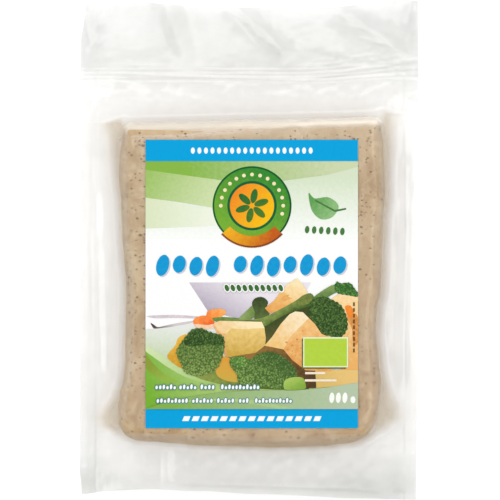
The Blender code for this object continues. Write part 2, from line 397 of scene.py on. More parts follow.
def weld_shade(x, y):
    """The broken lines of the mouth's weld."""
    off_weld = (y - weld_line(x)) / MM
    broken = np.maximum(0.5 + 1.3 * cloud(x, y, 19 * MM, 2.4 * MM, 47.0), 0.0)
    broken = broken * (0.75 + 0.25 * smooth(0, 40 * MM, x))
    return sum(strength * broken * np.exp(-((off_weld - place) / half_width) ** 2)
               for place, half_width, strength in WELD_LINES)


def painted_fold_shade_and_seal_lines(x, y):
    """Streaks of painted fold shade and highlight, and seal lines: full at mid length, fading toward both
    ends.
    """
    total = np.zeros_like(x)
    for start, end, soft_side, crisp_side, strength in PAINTED_FOLD_SHADE_AND_SEAL_LINES:
        (x0, y0), (x1, y1) = ((a * MM, b * MM) for a, b in (start, end))
        length = math.hypot(x1 - x0, y1 - y0)
        run_x, run_y = (x1 - x0) / length, (y1 - y0) / length
        along = (x - x0) * run_x + (y - y0) * run_y
        across = (y - y0) * run_x - (x - x0) * run_y
        width = np.where(across > 0, soft_side, crisp_side) * MM
        width = width * (0.55 + 0.45 * np.sin(math.pi * np.clip(along / length, 0, 1)))
        fade = min(LONGEST_FADE, length / 2)
        ends = smooth(-0.5 * fade, fade, along) * smooth(-0.5 * fade, fade, length - along)
        total += strength * ends * np.exp(-(across / width) ** 2)
    return total


def mouth_gap(x, y, seed):
    """Above the weld the two films are loose and stand a little apart."""
    above = smooth(2 * MM, 12 * MM, y - weld_line(x))
    return above * (0.35 * MM + 0.16 * MM * cloud(x, y, 14 * MM, 11 * MM, seed))


def front_film_at(x, y):
    rise = swell(x, y, FACE - SEAM - FILM, FRONT_ROUNDING)
    return seam_at(x, y) + FILM + rise + face_wave(x, y) + border_relief(x, y) + mouth_gap(x, y, 6.3)


def back_film_at(x, y):
    rise = swell(x, y, SEAM - BACK - FILM, BACK_ROUNDING)
    return seam_at(x, y) - FILM - rise + border_relief(x, y) - mouth_gap(x, y, 12.9)


# ---------------------------------------------------------------- pieces of the pouch

# Outline of the pouch: (place along the edge, how far out it lies), in millimetres
LEFT_EDGE = ((-97.6, -67.2), (-88, -67.8), (-20, -67.8), (84, -67.5), (98, -65.8))
RIGHT_EDGE = ((-100, 66.6), (-20, 67.2), (56, 67.7), (100, 67.5))
MOUTH_EDGE = ((-67, 97.8), (-60, 99.0), (-44, 99.6), (-34, 98.6), (-18, 97.0), (29, 96.9), (52, 98.9),
              (61, 100))
FOOT_EDGE = ((-67, -97.6), (-58, -96.4), (-40, -95.7), (-20, -96.4), (4, -97.6), (44, -99.3), (67, -100))


def onto_outline(x, y):
    left = smooth(SLAB_LEFT, POUCH_LOW[0], x) * (edge_line(LEFT_EDGE, y) - POUCH_LOW[0])
    right = smooth(SLAB_RIGHT, POUCH_HIGH[0], x) * (edge_line(RIGHT_EDGE, y) - POUCH_HIGH[0])
    mouth = smooth(SLAB_TOP, POUCH_HIGH[1], y) * (edge_line(MOUTH_EDGE, x) - POUCH_HIGH[1])
    foot = smooth(SLAB_BOTTOM, POUCH_LOW[1], y) * (edge_line(FOOT_EDGE, x) - POUCH_LOW[1])
    return x + left + right, y + mouth + foot


# Steps of the film's grid: on the border and on the face, then in millimetres about each wall
COLUMN_STEPS = (0.5 * MM, 0.9 * MM)
ROW_STEPS = (0.45 * MM, 3.2 * MM)
WALL_STEPS = (-7.0, -6.0, -5.0, -4.0, -3.2, -2.5, -1.9, -1.4, -0.9, -0.5, -0.2, 0.0, 0.12, 0.3, 0.55, 0.85,
              1.2, 1.6, 2.1, 2.7, 3.4, 4.2, 5.2)


def film_lines(low, slab_low, slab_high, high, border_step, face_step):
    """Places of the film's grid lines, close together on the slab's walls."""
    rising = [slab_low + step * MM for step in WALL_STEPS]
    falling = [slab_high - step * MM for step in reversed(WALL_STEPS)]

    def spread(start, end, step):
        return list(np.linspace(start, end, max(int(round((end - start) / step)), 1) + 1)[:-1])

    lines = spread(low, rising[0], border_step) + rising[:-1]
    lines += spread(rising[-1], falling[0], face_step) + falling[:-1]
    return lines + spread(falling[-1], high, border_step) + [high]


def pouch_film():
    """The pouch: two films with one closed rim, drawn tight round the slab."""
    columns = np.array(film_lines(POUCH_LOW[0], SLAB_LEFT, SLAB_RIGHT, POUCH_HIGH[0], *COLUMN_STEPS))
    rows = np.array(film_lines(POUCH_LOW[1], SLAB_BOTTOM, SLAB_TOP, POUCH_HIGH[1], *ROW_STEPS))
    deselect_all()
    bpy.ops.mesh.primitive_grid_add(x_subdivisions=len(columns) - 1, y_subdivisions=len(rows) - 1, size=1.0)
    piece = bpy.context.active_object
    piece.name = piece.data.name = "pouch_film"
    bpy.ops.object.mode_set(mode="EDIT")
    bpy.ops.mesh.select_all(action="SELECT")
    bpy.ops.mesh.extrude_region_move(TRANSFORM_OT_translate={"value": (0, 0, 1)})
    bpy.ops.object.mode_set(mode="OBJECT")
    flat = coordinates(piece)
    across = np.rint((flat[:, 0] + 0.5) * (len(columns) - 1)).astype(int)
    along = np.rint((flat[:, 1] + 0.5) * (len(rows) - 1)).astype(int)
    x, y = onto_outline(columns[across], rows[along])
    front = flat[:, 2] > 0.5
    z = np.where(front, front_film_at(x, y), back_film_at(x, y))
    place(piece, x, y, z)
    bend = bending(z, across, along, columns, rows, front)
    away = smooth(0.5 * MM, 3.5 * MM, -depth_in_slab(x, y))
    store(piece, "juice", juice_at(x, y))
    # Painted highlight lines, on the front film only
    store(piece, "painted_highlight", painted_highlight_at(x, y) * front)
    # Film tone with painted shade and painted highlights: the fold streaks, and darker or lighter where the
    # film bends
    store(piece, "film_tone_and_painted_shade", away * (film_tone_and_painted_shade_at(x, y) - 0.7 * np.tanh(bend / 500.0)) + 0.3 * (1 - away))
    finish_mesh(piece, 60)
    return piece


def bending(z, across, along, columns, rows, front):
    """How sharply the front film bends at each point: folds gather or spread the light there."""
    height = np.zeros((len(rows), len(columns)))
    height[along[front], across[front]] = z[front]
    bend = np.gradient(np.gradient(height, rows, axis=0), rows, axis=0)
    bend += np.gradient(np.gradient(height, columns, axis=1), columns, axis=1)
    return bend[along, across]


def coordinates(piece):
    flat = np.empty(len(piece.data.vertices) * 3)
    piece.data.vertices.foreach_get("co", flat)
    return flat.reshape(-1, 3)


def place(piece, x, y, z):
    piece.data.vertices.foreach_set("co", np.stack((x, y, z), axis=1).ravel())


def store(piece, name, values):
    layer = piece.data.attributes.new(name, "FLOAT", "POINT")
    layer.data.foreach_set("value", np.asarray(values, dtype=np.float32))


def thicken(piece, thickness):
    activate(piece)
    wall = piece.modifiers.new("wall", "SOLIDIFY")
    wall.thickness = thickness
    wall.offset = -1.0
    wall.use_even_offset = False
    bpy.ops.object.modifier_apply(modifier=wall.name)


def finish_mesh(piece, angle):
    activate(piece)
    bpy.ops.object.mode_set(mode="EDIT")
    bpy.ops.mesh.select_all(action="SELECT")
    bpy.ops.mesh.normals_make_consistent(inside=False)
    bpy.ops.object.mode_set(mode="OBJECT")
    bpy.ops.object.shade_smooth_by_angle(angle=math.radians(angle))


def tofu_slab():
    """The slab: a block with rounded walls, gentle dents and small open pits."""
    deselect_all()
    bpy.ops.mesh.primitive_cube_add(size=2.0)
    piece = bpy.context.active_object
    piece.name = piece.data.name = "tofu_slab"
    bpy.ops.object.mode_set(mode="EDIT")
    bpy.ops.mesh.select_all(action="SELECT")
    bpy.ops.mesh.subdivide(number_cuts=TOFU_CUTS)
    bpy.ops.object.mode_set(mode="OBJECT")
    place(piece, *slab_form(*coordinates(piece).T))
    finish_mesh(piece, 50)
    return piece


def slab_form(u, v, w):
    """Moves the places of a cube from -1 to 1 onto the slab."""
    rise = np.sign(w) * np.abs(w) ** 0.8
    inset = TOFU_ROUNDING * (1.0 - (1.0 - np.abs(rise) ** TOFU_FULLNESS) ** (1.0 / TOFU_FULLNESS))
    half_x = (TOFU_RIGHT - TOFU_LEFT) / 2 - inset
    half_y = (TOFU_TOP - TOFU_BOTTOM) / 2 - inset * np.where(v > 0, 0.55, 1.0)
    corner = np.maximum(np.where(v > 0, TOP_CORNER, BOTTOM_CORNER) - inset, 1.0 * MM)
    x, y = u * half_x, v * half_y
    over_x = np.maximum(np.abs(x) - half_x + corner, 0)
    over_y = np.maximum(np.abs(y) - half_y + corner, 0)
    reach = np.maximum(np.hypot(over_x, over_y), 1e-9)
    square = np.maximum(over_x, over_y) / reach
    x = np.sign(x) * (np.abs(x) - over_x + over_x * square)
    y = np.sign(y) * (np.abs(y) - over_y + over_y * square)
    y = y + (TOFU_BOTTOM + TOFU_TOP) / 2
    x = x + (TOFU_LEFT + TOFU_RIGHT) / 2
    out_x, out_y = slab_wave(x, y)
    x, y = x + out_x, y + out_y
    front = FACE - SEAM - 0.3 * MM + face_wave(x, y)
    z = SEAM + np.where(rise > 0, rise * front, rise * (SEAM - BACK - 0.25 * MM))
    dents = 0.12 * MM * cloud(x, y, 7 * MM, 6 * MM, 4.0) - 0.05 * MM
    pits = np.maximum(cloud(x, y, 1.9 * MM, 1.4 * MM, 8.0) - 0.45, 0) * -0.9 * MM
    z = z + np.where(w > 0.999, np.minimum(dents, 0.0) + pits, 0.0)
    z = np.minimum(z, front_film_at(x, y) - CLEAR_OF_FILM)
    z = np.maximum(z, back_film_at(x, y) + CLEAR_OF_FILM)
    return x, y, z


# ---------------------------------------------------------------- label and its print

def label_top(x, y):
    """Height of the label's printed side."""
    return FACE + 0.02 * MM + LABEL_SHEET + face_wave(x, y)


def lay_on_face(piece, layer, thickness):
    """Cuts a flat shape fine enough to follow the face, drapes it there and makes it a thin closed sheet."""
    mesh = bmesh.new()
    mesh.from_mesh(piece.data)
    bmesh.ops.triangulate(mesh, faces=mesh.faces[:])
    for _ in range(5):
        long_edges = [edge for edge in mesh.edges if edge.calc_length() > LONGEST_EDGE]
        if not long_edges:
            break
        bmesh.ops.subdivide_edges(mesh, edges=long_edges, cuts=1)
        bmesh.ops.triangulate(mesh, faces=mesh.faces[:])
    for vert in mesh.verts:
        vert.co.z = label_top(vert.co.x, vert.co.y) + layer * INK
    for face in mesh.faces:
        face.normal_update()
        if face.normal.z < 0:
            face.normal_flip()
    mesh.to_mesh(piece.data)
    mesh.free()
    thicken(piece, thickness)
    return piece


def on_label(points):
    """Places in millimetres from the label's middle, kept on the label, as places in the frame."""
    half_x, half_y = (LABEL_HIGH - LABEL_LOW)[:2] / 2
    return [(LABEL_MIDDLE[0] + min(max(u * MM, -half_x), half_x),
             LABEL_MIDDLE[1] + min(max(v * MM, -half_y), half_y)) for u, v in points]


def flat_shape(name, points):
    """A flat face with the given corners: a disc whose rim is moved onto them."""
    deselect_all()
    bpy.ops.mesh.primitive_circle_add(vertices=len(points), radius=1 * MM, fill_type="NGON")
    piece = bpy.context.active_object
    piece.name = piece.data.name = name
    for vert, (x, y) in zip(piece.data.vertices, on_label(points)):
        vert.co = (x, y, 0)
    return piece


def rounded(points, steps=8):
    """A soft closed line through the points."""
    line = []
    count = len(points)
    for i in range(count):
        p0, p1, p2, p3 = (points[(i + k - 1) % count] for k in range(4))
        for step in range(steps):
            t = step / steps
            line.append(tuple(0.5 * (2 * b + (c - a) * t + (2 * a - 5 * b + 4 * c - d) * t * t
                                     + (3 * b - a - 3 * c + d) * t ** 3)
                              for a, b, c, d in zip(p0, p1, p2, p3)))
    return line


def oval(u, v, half_u, half_v, turn=0.0, steps=40, bumps=0, bump=0.0):
    """Corners of an oval, turned by degrees, with an optional bumpy rim."""
    cos_turn, sin_turn = math.cos(math.radians(turn)), math.sin(math.radians(turn))
    line = []
    for i in range(steps):
        angle = 2 * math.pi * i / steps
        swell_out = 1 + bump * (math.sin(bumps * angle) + 0.6 * math.sin(bumps * 1.7 * angle + 1.3))
        a, b = half_u * math.cos(angle) * swell_out, half_v * math.sin(angle) * swell_out
        line.append((u + a * cos_turn - b * sin_turn, v + a * sin_turn + b * cos_turn))
    return line


def box_corners(left, low, right, high):
    return [(left, low), (right, low), (right, high), (left, high)]


def bar(u, v, length, height, slant=0.0):
    half = length / 2
    return [(u - half - slant, v - height / 2), (u + half - slant, v - height / 2),
            (u + half + slant, v + height / 2), (u - half + slant, v + height / 2)]


def join(name, pieces):
    activate(pieces[0])
    for piece in pieces[1:]:
        piece.select_set(True)
    bpy.ops.object.join()
    joined = bpy.context.active_object
    joined.name = joined.data.name = name
    return joined


def ink_shapes(name, outlines, layer, material):
    """One ink of the print: its shapes, joined and draped on the label."""
    pieces = [flat_shape(f"{name}_{i}", outline) for i, outline in enumerate(outlines)]
    piece = join(name, pieces) if len(pieces) > 1 else pieces[0]
    piece.name = piece.data.name = name
    lay_on_face(piece, layer, INK * 0.9)
    piece.data.materials.append(material)
    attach(piece, "root")
    return piece


def label_sheet(material):
    half_x = (LABEL_HIGH[0] - LABEL_LOW[0]) / 2 / MM
    half_y = (LABEL_HIGH[1] - LABEL_LOW[1]) / 2 / MM
    piece = flat_shape("label_sheet", box_corners(-half_x, -half_y, half_x, half_y))
    lay_on_face(piece, 0, LABEL_SHEET)
    piece.data.materials.append(material)
    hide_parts("label")
    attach(piece, "root")
    return piece


# ---------------------------------------------------------------- materials

class Nodes:
    """A material's node tree, with short calls for the nodes used here."""

    def __init__(self, name):
        self.material = bpy.data.materials.new(name)
        self.material.use_nodes = True
        self.tree = self.material.node_tree
        self.tree.nodes.clear()
        self.output = self.tree.nodes.new("ShaderNodeOutputMaterial")
        self.place = self.tree.nodes.new("ShaderNodeTexCoord").outputs["Object"]

    def add(self, kind, inputs=(), **settings):
        node = self.tree.nodes.new(kind)
        for key, value in settings.items():
            setattr(node, key, value)
        for key, value in dict(inputs).items():
            self.feed(node.inputs[key], value)
        return node

    def feed(self, socket, value):
        if isinstance(value, bpy.types.NodeSocket):
            self.tree.links.new(value, socket)
        else:
            socket.default_value = value

    def noise(self, scale, detail=3.0, rough=0.55, stretch=(1, 1, 1), warp=0.0):
        place = self.add("ShaderNodeMapping", {"Vector": self.place, "Scale": stretch}).outputs[0]
        return self.add("ShaderNodeTexNoise", {"Vector": place, "Scale": scale, "Detail": detail,
                                               "Roughness": rough, "Distortion": warp}).outputs["Fac"]

    def ramp(self, value, stops, mode="EASE"):
        node = self.add("ShaderNodeValToRGB", {"Fac": value})
        node.color_ramp.interpolation = mode
        elements = node.color_ramp.elements
        while len(elements) < len(stops):
            elements.new(0.5)
        for element, (position, colour) in zip(elements, stops):
            element.position = position
            element.color = (*colour, 1.0) if len(colour) == 3 else colour
        return node.outputs["Color"]

    def level(self, value, low, high, out_low=0.0, out_high=1.0):
        node = self.add("ShaderNodeMapRange", {"Value": value, "From Min": low, "From Max": high,
                                               "To Min": out_low, "To Max": out_high})
        return node.outputs["Result"]

    def mix(self, share, first, second, blend="MIX"):
        node = self.add("ShaderNodeMix", data_type="RGBA", blend_type=blend)
        self.feed(node.inputs[0], share)
        self.feed(node.inputs[6], first if isinstance(first, bpy.types.NodeSocket) else (*first, 1.0))
        self.feed(node.inputs[7], second if isinstance(second, bpy.types.NodeSocket) else (*second, 1.0))
        return node.outputs[2]

    def math(self, operation, first, second=0.0):
        node = self.add("ShaderNodeMath", operation=operation)
        self.feed(node.inputs[0], first)
        self.feed(node.inputs[1], second)
        return node.outputs[0]

    def bump(self, height, strength, distance):
        return self.add("ShaderNodeBump", {"Height": height, "Strength": strength,
                                           "Distance": distance}).outputs["Normal"]

    def finish(self, shader):
        self.tree.links.new(shader, self.output.inputs["Surface"])
        return self.material


def linear(red, green, blue):
    """A screen colour, 0 to 255, as the light it stands for."""
    return tuple((c / 255 / 12.92) if c <= 10 else ((c / 255 + 0.055) / 1.055) ** 2.4
                 for c in (red, green, blue))


# Light that falls on a level surface in the studio, against plain white
LIGHT_LEVEL = 1.40


def surface(red, green, blue):
    """The surface colour that looks like this screen colour under the studio's light."""
    return tuple(min(value / LIGHT_LEVEL, 1.0) for value in linear(red, green, blue))


# Small open pits of the curd: cells a metre, share of cells without one, smallest, largest, shift
PITS = ((190.0, 0.70, 0.07, 0.16, 0.0), (360.0, 0.60, 0.09, 0.22, 3.0), (600.0, 0.72, 0.16, 0.30, 7.0))


def tofu_material():
    n = Nodes("tofu_curd")
    patches = n.noise(85, 4, 0.58, (1, 0.7, 1), 0.6)
    mottle = n.noise(260, 5, 0.66, (1, 0.8, 1), 0.5)
    grain = n.noise(1500, 2, 0.5)
    colour = n.ramp(patches, ((0.30, surface(180, 149, 106)), (0.50, surface(202, 175, 135)),
                              (0.68, surface(215, 192, 155))))
    colour = n.mix(n.level(mottle, 0.50, 0.70, 0.0, 0.75), colour, surface(222, 201, 167))
    colour = n.mix(n.level(mottle, 0.46, 0.30, 0.0, 0.55), colour, surface(174, 140, 96))
    colour = n.mix(n.level(grain, 0.52, 0.72, 0.0, 0.35), colour, surface(178, 146, 104))
    parts = n.add("ShaderNodeSeparateXYZ", {"Vector": n.place}).outputs
    # Painted shade: the curd darker toward the bottom and the right, away from the light at the top left
    lean = n.math("SUBTRACT", parts["Y"], n.math("MULTIPLY", parts["X"], 0.9))
    colour = n.mix(n.level(lean, 20 * MM, -60 * MM, 0.0, 1.0), colour, (0.925, 0.865, 0.80), "MULTIPLY")
    # Painted highlight: the curd lighter along the top, which faces the light
    colour = n.mix(n.level(parts["Y"], 30 * MM, 54 * MM, 0.0, 0.34), colour, surface(230, 203, 168))
    height = n.math("MULTIPLY", mottle, 0.6)
    for scale, rare, low, high, shift in PITS:
        warped = n.add("ShaderNodeMapping", {"Vector": n.place, "Scale": (1.0, 1.5, 1.0),
                                             "Location": (shift, 0, 0)}).outputs[0]
        cells = n.add("ShaderNodeTexVoronoi", {"Vector": warped, "Scale": scale, "Randomness": 1.0})
        pick = n.add("ShaderNodeSeparateColor", {"Color": cells.outputs["Color"]})
        size = n.level(pick.outputs["Green"], 0.0, 1.0, low, high)
        spot = n.level(n.math("SUBTRACT", cells.outputs["Distance"], size), -0.03, 0.05, 1.0, 0.0)
        pit = n.math("MULTIPLY", spot, n.level(pick.outputs["Red"], rare, rare + 0.02))
        # Painted shade inside each pit
        colour = n.mix(n.math("MULTIPLY", pit, 0.9), colour, surface(118, 84, 52))
        height = n.math("SUBTRACT", height, pit)
    shader = n.add("ShaderNodeBsdfPrincipled", {
        "Base Color": colour, "Roughness": n.level(mottle, 0.3, 0.7, 0.42, 0.62),
        "Normal": n.bump(height, 0.5, 0.0006)})
    shader.inputs["Specular IOR Level"].default_value = 0.25
    return n.finish(shader.outputs[0])


def film_material():
    n = Nodes("pouch_film")
    juice = n.add("ShaderNodeAttribute", attribute_name="juice").outputs["Fac"]
    film_tone_and_painted_shade = n.add("ShaderNodeAttribute", attribute_name="film_tone_and_painted_shade").outputs["Fac"]
    fine = n.noise(900, 3, 0.6, (1, 0.6, 1))
    cloudy = n.noise(90, 3, 0.5)
    normal = n.bump(fine, 0.35, 0.00012)
    # The clear part dims with the film's tint and its painted shade
    clear_colour = n.mix(n.level(film_tone_and_painted_shade, 0.0, 6.0), (0.990, 0.990, 0.988), (0.813, 0.815, 0.806))
    clear = n.add("ShaderNodeBsdfTransparent", {"Color": clear_colour}).outputs[0]
    painted_highlight = n.add("ShaderNodeAttribute", attribute_name="painted_highlight").outputs["Fac"]
    haze_colour = n.mix(n.level(juice, 0.04, 0.28), (0.93, 0.92, 0.90), surface(246, 230, 202))
    # Painted highlight: the haze turns pale and thicker along the highlight lines
    haze_colour = n.mix(n.level(painted_highlight, 0.1, 0.5), haze_colour, (0.95, 0.90, 0.80))
    lit = n.add("ShaderNodeBsdfDiffuse", {"Color": haze_colour, "Normal": normal}).outputs[0]
    through = n.add("ShaderNodeBsdfTranslucent", {"Color": haze_colour, "Normal": normal}).outputs[0]
    haze = n.add("ShaderNodeMixShader", {0: 0.4, 1: lit, 2: through}).outputs[0]
    amount = n.level(cloudy, 0.3, 0.7, 0.03, 0.06)
    amount = n.math("ADD", n.math("ADD", amount, juice), painted_highlight)
    body = n.add("ShaderNodeMixShader", {0: amount, 1: clear, 2: haze}).outputs[0]
    gloss = n.add("ShaderNodeBsdfGlossy", {"Color": (1, 1, 1, 1), "Normal": normal})
    gloss.inputs["Roughness"].default_value = 0.10
    facing = n.add("ShaderNodeLayerWeight", {"Blend": 0.5, "Normal": normal}).outputs["Facing"]
    edge = n.math("ADD", 0.04, n.math("MULTIPLY", n.math("POWER", facing, 5.0), 0.4))
    shader = n.add("ShaderNodeMixShader", {0: edge, 1: body, 2: gloss.outputs[0]}).outputs[0]
    return n.finish(shader)


def paper_material():
    n = Nodes("label_paper")
    fibre = n.noise(1500, 3, 0.6)
    colour = n.mix(n.level(fibre, 0.3, 0.7), surface(250, 250, 250), surface(255, 255, 254))
    shader = n.add("ShaderNodeBsdfPrincipled", {
        "Base Color": colour, "Roughness": n.level(fibre, 0.3, 0.7, 0.36, 0.46),
        "Normal": n.bump(fibre, 0.06, 0.0001)})
    return n.finish(shader.outputs[0])


def ink_material(name, first, second=None, mottle=0.35, grain=700, lean=None, florets=None):
    """A printed ink: two tones mixed by a slope across the shape or by a soft mottle."""
    n = Nodes(name)
    second = second or tuple(min(255, c * 1.04 + 3) for c in first)
    share = n.level(n.noise(grain, 3, 0.6), 0.32, 0.68, 0.0, 1.0)
    if lean:
        (start_u, start_v), (end_u, end_v) = lean
        (x0, y0), (x1, y1) = on_label(((start_u, start_v), (end_u, end_v)))
        parts = n.add("ShaderNodeSeparateXYZ", {"Vector": n.place}).outputs
        length = (x1 - x0) ** 2 + (y1 - y0) ** 2
        along_x = n.math("MULTIPLY", n.math("SUBTRACT", parts["X"], x0), (x1 - x0) / length)
        along_y = n.math("MULTIPLY", n.math("SUBTRACT", parts["Y"], y0), (y1 - y0) / length)
        slope = n.math("ADD", along_x, along_y)
        noisy = n.math("MULTIPLY", n.math("SUBTRACT", share, 0.5), mottle)
        share = n.level(n.math("ADD", slope, noisy), 0.0, 1.0)
    colour = n.mix(share, surface(*first), surface(*second))
    if florets:
        light, dark, scale = florets
        cells = n.add("ShaderNodeTexVoronoi", {"Vector": n.place, "Scale": scale}).outputs["Distance"]
        uneven = n.math("ADD", cells, n.math("SUBTRACT", n.noise(scale, 4, 0.7), 0.5))
        colour = n.mix(n.level(uneven, 0.02, 0.26, 0.85, 0.0), colour, surface(*light))
        colour = n.mix(n.level(uneven, 0.34, 0.66, 0.0, 0.8), colour, surface(*dark))
    shader = n.add("ShaderNodeBsdfPrincipled", {
        "Base Color": colour, "Roughness": n.level(n.noise(1500, 2), 0.3, 0.7, 0.34, 0.44)})
    shader.inputs["Specular IOR Level"].default_value = 0.05
    return n.finish(shader.outputs[0])


def floor_material():
    n = Nodes("studio_floor")
    tone = n.level(n.noise(3, 2), 0.3, 0.7, 0.0, 1.0)
    colour = n.mix(tone, (0.86, 0.86, 0.86), (0.88, 0.88, 0.88))
    shader = n.add("ShaderNodeBsdfPrincipled", {"Base Color": colour, "Roughness": 0.9})
    shader.inputs["Specular IOR Level"].default_value = 0.1
    return n.finish(shader.outputs[0])


# ---------------------------------------------------------------- the print, from back to front

def print_bands():
    blue = ink_material("ink_blue", (0, 162, 221), (0, 166, 225))
    white = ink_material("ink_white", (250, 252, 253))
    ink_shapes("band_top", [box_corners(-42.2, 48.8, 42.2, 57.3)], 8, blue)
    ink_shapes("band_bottom", [box_corners(-42.2, -57.3, 42.2, -49.7)], 8, blue)
    beads = [oval(-23.4 + 2.6 * i, 53.0, 0.8, 1.25, 0, 16) for i in range(19)]
    ink_shapes("beads_top", beads, 9, white)
    dashes = [bar(-26.0 + 3.72 * i, -53.5, 2.5, 1.9, 0.4) for i in range(15)]
    ink_shapes("dashes_bottom", dashes, 9, white)


def print_upper_field():
    pale = ink_material("ink_pale_green", (216, 229, 200), (252, 254, 250), 0.2, lean=((10, 42), (10, 19)))
    ink_shapes("field_pale", [box_corners(-42.2, 18, 42.2, 49)], 1, pale)
    veil = ink_material("ink_veil", (222, 232, 196), (242, 247, 230), 0.2, lean=((-40, 26), (-14, 24)))
    ink_shapes("swoosh_low", [[(-42.2, 22), (-30, 22.4), (-6, 23.6), (-6, 27), (-20, 30), (-42.2, 34.6)]],
               2, veil)
    middle = ink_material("ink_middle_green", (160, 196, 104), (208, 224, 172), 0.2,
                          lean=((-42, 42), (-20, 28)))
    ink_shapes("swoosh_middle", [[(-42.2, 34.3), (-28, 32.4), (-8, 29), (-6, 40), (-20, 44), (-42.2, 48.8)]],
               3, middle)
    bright = ink_material("ink_bright_green", (136, 184, 72), (206, 217, 176), 0.2,
                          lean=((-26, 46), (34, 47)))
    ink_shapes("swoosh_top", [rounded([(-42.2, 49), (-42.2, 45.4), (-28, 43.4), (-12, 41.2), (8, 40.4),
                                       (30, 43.4), (42.2, 46.6), (42.2, 49)], 1)], 4, bright)


def print_roundel():
    rim = ink_material("ink_dark_green", (16, 96, 44), (10, 78, 40), lean=((-10, 42), (10, 20)))
    ring = ink_material("ink_ring_green", (52, 138, 50), (120, 176, 54), 0.3, lean=((6, 44), (-6, 20)))
    deep = ink_material("ink_deep_green", (14, 104, 66), (20, 84, 50))
    warm = ink_material("ink_orange", (243, 140, 36), (250, 196, 20), 0.2, lean=((-7, 36), (7, 26)))
    bean = ink_material("ink_cream", (250, 240, 205), (244, 224, 170))
    leaf = ink_material("ink_roundel_leaf", (24, 104, 52), (84, 128, 44), 0.4, lean=((-6, 37), (6, 25)))
    mid = (0.1, 31.1)
    ink_shapes("roundel_rim", [oval(*mid, 15.7, 15.7, 0, 72)], 5, rim)
    ink_shapes("roundel_ring", [oval(*mid, 15.0, 15.0, 0, 72)], 6, ring)
    ink_shapes("roundel_inner", [oval(*mid, 9.8, 9.8, 0, 60)], 7, deep)
    ink_shapes("roundel_middle", [oval(*mid, 8.8, 8.8, 0, 60)], 8, warm)
    dots = [oval(mid[0] + 12.4 * math.cos(a), mid[1] + 12.4 * math.sin(a), 0.75, 0.75, 0, 14)
            for a in (2 * math.pi * i / 24 for i in range(24))]
    ink_shapes("roundel_beads", dots[:13] + dots[23:], 7, bean)
    petals = [oval(mid[0] + 3.9 * math.cos(math.radians(turn)), mid[1] + 3.9 * math.sin(math.radians(turn)),
                   2.9, 1.35, turn, 28) for turn in range(18, 378, 60)]
    ink_shapes("roundel_petals", petals, 9, leaf)
    ribbon = ink_material("ink_ribbon", (250, 186, 36), (196, 92, 28), 0.2, lean=((-12, 22), (6, 14)))
    shade = ink_material("ink_ribbon_shade", (120, 60, 24), (150, 70, 26))
    bands = (("ribbon_shade", 12.0, 16.7, 9, shade), ("ribbon", 12.0, 16.0, 10, ribbon))
    for name, low, high, layer, ink in bands:
        turns = [math.radians(-137 + 94 * i / 20) for i in range(21)]
        rim = [(mid[0] + high * math.cos(a), mid[1] + high * math.sin(a)) for a in turns]
        rim += [(mid[0] + low * math.cos(a), mid[1] + low * math.sin(a)) for a in reversed(turns)]
        ink_shapes("roundel_" + name, [rim], layer, ink)


def print_ornaments():
    shade = ink_material("ink_soft_grey", (196, 200, 214), (214, 216, 226))
    blue = ink_material("ink_title_blue", (22, 160, 218), (14, 150, 210))
    places = [-35.4 + 6.6 * i + (4.4 if i > 3 else 0.0) for i in range(11)]
    ovals = [(u, 7.4 + 0.5 * math.sin(1.9 * i), 2.5, 3.8 + 0.5 * math.cos(2.3 * i), -14) for i, u in
             enumerate(places)]
    ink_shapes("title_shadow", [oval(u + 0.5, v - 0.45, a, b, turn, 28) for u, v, a, b, turn in ovals],
               5, shade)
    ink_shapes("title_beans", [oval(*values, 28) for values in ovals], 6, blue)
    leaf = ink_material("ink_leaf_green", (96, 160, 84), (160, 202, 140), lean=((24, 34), (36, 26)))
    blade = rounded([(22.6, 36.2), (25.0, 34.0), (30.5, 34.4), (34.5, 31.0), (32.0, 26.6), (27.4, 25.8),
                     (23.8, 29.4)], 6)
    ink_shapes("leaf_blade", [blade], 5, leaf)
    stem = ink_material("ink_stem_green", (70, 120, 62))
    ink_shapes("leaf_stem", [[(25.0, 33.0), (33.0, 28.6), (37.6, 29.6), (37.4, 30.2), (33.0, 29.4),
                              (25.2, 33.6)]], 6, stem)
    dots = [oval(22.0 + 2.8 * i, 21.6 - 0.15 * i, 0.9, 1.5, -6, 14) for i in range(6)]
    ink_shapes("leaf_beads", dots, 5, stem)
    small = [oval(-9.9 + 2.38 * i, -1.6, 0.85, 1.4, 20, 16) for i in range(10)]
    halo = [oval(-9.9 + 2.38 * i, -1.6, 1.3, 1.9, 20, 16) for i in range(10)]
    ink_shapes("subtitle_halo", halo, 23, ink_material("ink_pale_halo", (248, 250, 247)))
    ink_shapes("subtitle_beads", small, 24, ink_material("ink_deep_leaf", (62, 106, 50)))


